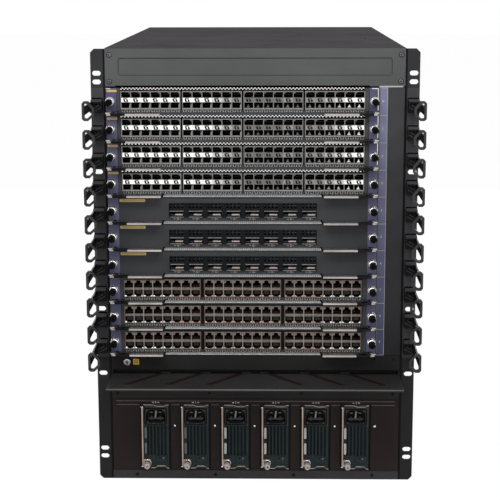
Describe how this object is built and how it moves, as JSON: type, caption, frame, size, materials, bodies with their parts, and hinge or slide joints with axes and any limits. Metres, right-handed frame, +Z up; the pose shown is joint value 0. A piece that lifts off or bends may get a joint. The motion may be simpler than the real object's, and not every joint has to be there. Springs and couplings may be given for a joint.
{
  "type": "modular chassis switch",
  "caption": "Rack-mounted modular network switch with sliding line cards, ejector levers, cable guides, cable tray, power modules and rear fan trays.",
  "frame": {"origin": "centre of the bounding box on the plane that the chassis stands on", "axes": "+X to the viewer's right across the width, +Y from the card face to the fans, +Z up"},
  "size_m": [0.4826, 0.8242, 0.664],
  "materials": {
    "case_paint": "satin",
    "fascia_paint": "satin",
    "ear_paint": "satin",
    "column_paint": "satin",
    "black_paint": "satin",
    "power_paint": "satin",
    "zinc_steel": "satin",
    "board_green": "satin",
    "label_lavender": "satin",
    "nickel": "polished",
    "guide_plastic": "satin",
    "small_port_card": "satin",
    "large_port_card": "satin",
    "jack_card": "satin",
    "lever_steel": "satin",
    "module_case": "satin",
    "pull_steel": "satin",
    "fan_paint": "satin",
    "port_metal": "satin",
    "port_dark": "matte",
    "screw_steel": "satin",
    "knob_black": "satin",
    "marking_white": "satin",
    "tag_colour": "satin",
    "lamp": "gloss"
  },
  "bodies": {
    "chassis": {"chassis_shell": "case_paint", "top_cover": "case_paint", "top_fascia": "fascia_paint", "card_cage": "zinc_steel", "midplane": "board_green", "power_shelf": "zinc_steel", "side_column": "column_paint", "slot_label_strip": "label_lavender", "lower_rail": "black_paint", "strap_jack": "nickel", "cable_tray": "black_paint", "power_fascia": "power_paint", "rack_ear_left": "ear_paint", "rack_ear_right": "ear_paint", "cable_guides_left": "guide_plastic", "cable_guides_right": "guide_plastic"},
    "card_0": {"card_0": "small_port_card"},
    "lever_left_0": {"lever_left_0": "lever_steel"},
    "lever_right_0": {"lever_right_0": "lever_steel"},
    "card_1": {"card_1": "small_port_card"},
    "lever_left_1": {"lever_left_1": "lever_steel"},
    "lever_right_1": {"lever_right_1": "lever_steel"},
    "card_2": {"card_2": "small_port_card"},
    "lever_left_2": {"lever_left_2": "lever_steel"},
    "lever_right_2": {"lever_right_2": "lever_steel"},
    "card_3": {"card_3": "small_port_card"},
    "lever_left_3": {"lever_left_3": "lever_steel"},
    "lever_right_3": {"lever_right_3": "lever_steel"},
    "card_4": {"card_4": "large_port_card"},
    "lever_left_4": {"lever_left_4": "lever_steel"},
    "lever_right_4": {"lever_right_4": "lever_steel"},
    "card_5": {"card_5": "large_port_card"},
    "lever_left_5": {"lever_left_5": "lever_steel"},
    "lever_right_5": {"lever_right_5": "lever_steel"},
    "card_6": {"card_6": "large_port_card"},
    "lever_left_6": {"lever_left_6": "lever_steel"},
    "lever_right_6": {"lever_right_6": "lever_steel"},
    "card_7": {"card_7": "jack_card"},
    "lever_left_7": {"lever_left_7": "lever_steel"},
    "lever_right_7": {"lever_right_7": "lever_steel"},
    "card_8": {"card_8": "jack_card"},
    "lever_left_8": {"lever_left_8": "lever_steel"},
    "lever_right_8": {"lever_right_8": "lever_steel"},
    "card_9": {"card_9": "jack_card"},
    "lever_left_9": {"lever_left_9": "lever_steel"},
    "lever_right_9": {"lever_right_9": "lever_steel"},
    "power_module_0": {"power_module_0": "module_case"},
    "power_lever_0": {"power_lever_0": "pull_steel"},
    "power_module_1": {"power_module_1": "module_case"},
    "power_lever_1": {"power_lever_1": "pull_steel"},
    "power_module_2": {"power_module_2": "module_case"},
    "power_lever_2": {"power_lever_2": "pull_steel"},
    "power_module_3": {"power_module_3": "module_case"},
    "power_lever_3": {"power_lever_3": "pull_steel"},
    "power_module_4": {"power_module_4": "module_case"},
    "power_lever_4": {"power_lever_4": "pull_steel"},
    "power_module_5": {"power_module_5": "module_case"},
    "power_lever_5": {"power_lever_5": "pull_steel"},
    "fan_tray_0": {"fan_tray_0": "fan_paint"},
    "fan_tray_1": {"fan_tray_1": "fan_paint"}
  },
  "joints": [
    {"name": "card_0_slide", "type": "slide", "parent": "chassis", "child": "card_0", "axis": [0, -1, 0], "range_m": [0, 0.35]},
    {"name": "lever_left_0_turn", "type": "hinge", "parent": "card_0", "child": "lever_left_0", "pos_m": [-0.2135, -0.32265, 0.56741], "axis": [0, 0, -1], "range_deg": [0, 75]},
    {"name": "lever_right_0_turn", "type": "hinge", "parent": "card_0", "child": "lever_right_0", "pos_m": [0.1759, -0.32265, 0.56741], "axis": [0, 0, 1], "range_deg": [0, 75]},
    {"name": "card_1_slide", "type": "slide", "parent": "chassis", "child": "card_1", "axis": [0, -1, 0], "range_m": [0, 0.35]},
    {"name": "lever_left_1_turn", "type": "hinge", "parent": "card_1", "child": "lever_left_1", "pos_m": [-0.2135, -0.32265, 0.52677], "axis": [0, 0, -1], "range_deg": [0, 75]},
    {"name": "lever_right_1_turn", "type": "hinge", "parent": "card_1", "child": "lever_right_1", "pos_m": [0.1759, -0.32265, 0.52677], "axis": [0, 0, 1], "range_deg": [0, 75]},
    {"name": "card_2_slide", "type": "slide", "parent": "chassis", "child": "card_2", "axis": [0, -1, 0], "range_m": [0, 0.35]},
    {"name": "lever_left_2_turn", "type": "hinge", "parent": "card_2", "child": "lever_left_2", "pos_m": [-0.2135, -0.32265, 0.48613], "axis": [0, 0, -1], "range_deg": [0, 75]},
    {"name": "lever_right_2_turn", "type": "hinge", "parent": "card_2", "child": "lever_right_2", "pos_m": [0.1759, -0.32265, 0.48613], "axis": [0, 0, 1], "range_deg": [0, 75]},
    {"name": "card_3_slide", "type": "slide", "parent": "chassis", "child": "card_3", "axis": [0, -1, 0], "range_m": [0, 0.35]},
    {"name": "lever_left_3_turn", "type": "hinge", "parent": "card_3", "child": "lever_left_3", "pos_m": [-0.2135, -0.32265, 0.44549], "axis": [0, 0, -1], "range_deg": [0, 75]},
    {"name": "lever_right_3_turn", "type": "hinge", "parent": "card_3", "child": "lever_right_3", "pos_m": [0.1759, -0.32265, 0.44549], "axis": [0, 0, 1], "range_deg": [0, 75]},
    {"name": "card_4_slide", "type": "slide", "parent": "chassis", "child": "card_4", "axis": [0, -1, 0], "range_m": [0, 0.35]},
    {"name": "lever_left_4_turn", "type": "hinge", "parent": "card_4", "child": "lever_left_4", "pos_m": [-0.2135, -0.32265, 0.40485], "axis": [0, 0, -1], "range_deg": [0, 75]},
    {"name": "lever_right_4_turn", "type": "hinge", "parent": "card_4", "child": "lever_right_4", "pos_m": [0.1759, -0.32265, 0.40485], "axis": [0, 0, 1], "range_deg": [0, 75]},
    {"name": "card_5_slide", "type": "slide", "parent": "chassis", "child": "card_5", "axis": [0, -1, 0], "range_m": [0, 0.35]},
    {"name": "lever_left_5_turn", "type": "hinge", "parent": "card_5", "child": "lever_left_5", "pos_m": [-0.2135, -0.32265, 0.36421], "axis": [0, 0, -1], "range_deg": [0, 75]},
    {"name": "lever_right_5_turn", "type": "hinge", "parent": "card_5", "child": "lever_right_5", "pos_m": [0.1759, -0.32265, 0.36421], "axis": [0, 0, 1], "range_deg": [0, 75]},
    {"name": "card_6_slide", "type": "slide", "parent": "chassis", "child": "card_6", "axis": [0, -1, 0], "range_m": [0, 0.35]},
    {"name": "lever_left_6_turn", "type": "hinge", "parent": "card_6", "child": "lever_left_6", "pos_m": [-0.2135, -0.32265, 0.32357], "axis": [0, 0, -1], "range_deg": [0, 75]},
    {"name": "lever_right_6_turn", "type": "hinge", "parent": "card_6", "child": "lever_right_6", "pos_m": [0.1759, -0.32265, 0.32357], "axis": [0, 0, 1], "range_deg": [0, 75]},
    {"name": "card_7_slide", "type": "slide", "parent": "chassis", "child": "card_7", "axis": [0, -1, 0], "range_m": [0, 0.35]},
    {"name": "lever_left_7_turn", "type": "hinge", "parent": "card_7", "child": "lever_left_7", "pos_m": [-0.2135, -0.32265, 0.28293], "axis": [0, 0, -1], "range_deg": [0, 75]},
    {"name": "lever_right_7_turn", "type": "hinge", "parent": "card_7", "child": "lever_right_7", "pos_m": [0.1759, -0.32265, 0.28293], "axis": [0, 0, 1], "range_deg": [0, 75]},
    {"name": "card_8_slide", "type": "slide", "parent": "chassis", "child": "card_8", "axis": [0, -1, 0], "range_m": [0, 0.35]},
    {"name": "lever_left_8_turn", "type": "hinge", "parent": "card_8", "child": "lever_left_8", "pos_m": [-0.2135, -0.32265, 0.24229], "axis": [0, 0, -1], "range_deg": [0, 75]},
    {"name": "lever_right_8_turn", "type": "hinge", "parent": "card_8", "child": "lever_right_8", "pos_m": [0.1759, -0.32265, 0.24229], "axis": [0, 0, 1], "range_deg": [0, 75]},
    {"name": "card_9_slide", "type": "slide", "parent": "chassis", "child": "card_9", "axis": [0, -1, 0], "range_m": [0, 0.35]},
    {"name": "lever_left_9_turn", "type": "hinge", "parent": "card_9", "child": "lever_left_9", "pos_m": [-0.2135, -0.32265, 0.20165], "axis": [0, 0, -1], "range_deg": [0, 75]},
    {"name": "lever_right_9_turn", "type": "hinge", "parent": "card_9", "child": "lever_right_9", "pos_m": [0.1759, -0.32265, 0.20165], "axis": [0, 0, 1], "range_deg": [0, 75]},
    {"name": "power_module_0_slide", "type": "slide", "parent": "chassis", "child": "power_module_0", "axis": [0, -1, 0], "range_m": [0, 0.25]},
    {"name": "power_lever_0_turn", "type": "hinge", "parent": "power_module_0", "child": "power_lever_0", "pos_m": [-0.17435, -0.31895, 0.1156], "axis": [-1, 0, 0], "range_deg": [0, 80]},
    {"name": "power_module_1_slide", "type": "slide", "parent": "chassis", "child": "power_module_1", "axis": [0, -1, 0], "range_m": [0, 0.25]},
    {"name": "power_lever_1_turn", "type": "hinge", "parent": "power_module_1", "child": "power_lever_1", "pos_m": [-0.11285, -0.31895, 0.1156], "axis": [-1, 0, 0], "range_deg": [0, 80]},
    {"name": "power_module_2_slide", "type": "slide", "parent": "chassis", "child": "power_module_2", "axis": [0, -1, 0], "range_m": [0, 0.25]},
    {"name": "power_lever_2_turn", "type": "hinge", "parent": "power_module_2", "child": "power_lever_2", "pos_m": [-0.05135, -0.31895, 0.1156], "axis": [-1, 0, 0], "range_deg": [0, 80]},
    {"name": "power_module_3_slide", "type": "slide", "parent": "chassis", "child": "power_module_3", "axis": [0, -1, 0], "range_m": [0, 0.25]},
    {"name": "power_lever_3_turn", "type": "hinge", "parent": "power_module_3", "child": "power_lever_3", "pos_m": [0.01015, -0.31895, 0.1156], "axis": [-1, 0, 0], "range_deg": [0, 80]},
    {"name": "power_module_4_slide", "type": "slide", "parent": "chassis", "child": "power_module_4", "axis": [0, -1, 0], "range_m": [0, 0.25]},
    {"name": "power_lever_4_turn", "type": "hinge", "parent": "power_module_4", "child": "power_lever_4", "pos_m": [0.07165, -0.31895, 0.1156], "axis": [-1, 0, 0], "range_deg": [0, 80]},
    {"name": "power_module_5_slide", "type": "slide", "parent": "chassis", "child": "power_module_5", "axis": [0, -1, 0], "range_m": [0, 0.25]},
    {"name": "power_lever_5_turn", "type": "hinge", "parent": "power_module_5", "child": "power_lever_5", "pos_m": [0.13315, -0.31895, 0.1156], "axis": [-1, 0, 0], "range_deg": [0, 80]},
    {"name": "fan_tray_0_slide", "type": "slide", "parent": "chassis", "child": "fan_tray_0", "axis": [0, 1, 0], "range_m": [0, 0.2]},
    {"name": "fan_tray_1_slide", "type": "slide", "parent": "chassis", "child": "fan_tray_1", "axis": [0, 1, 0], "range_m": [0, 0.2]}
  ]
}
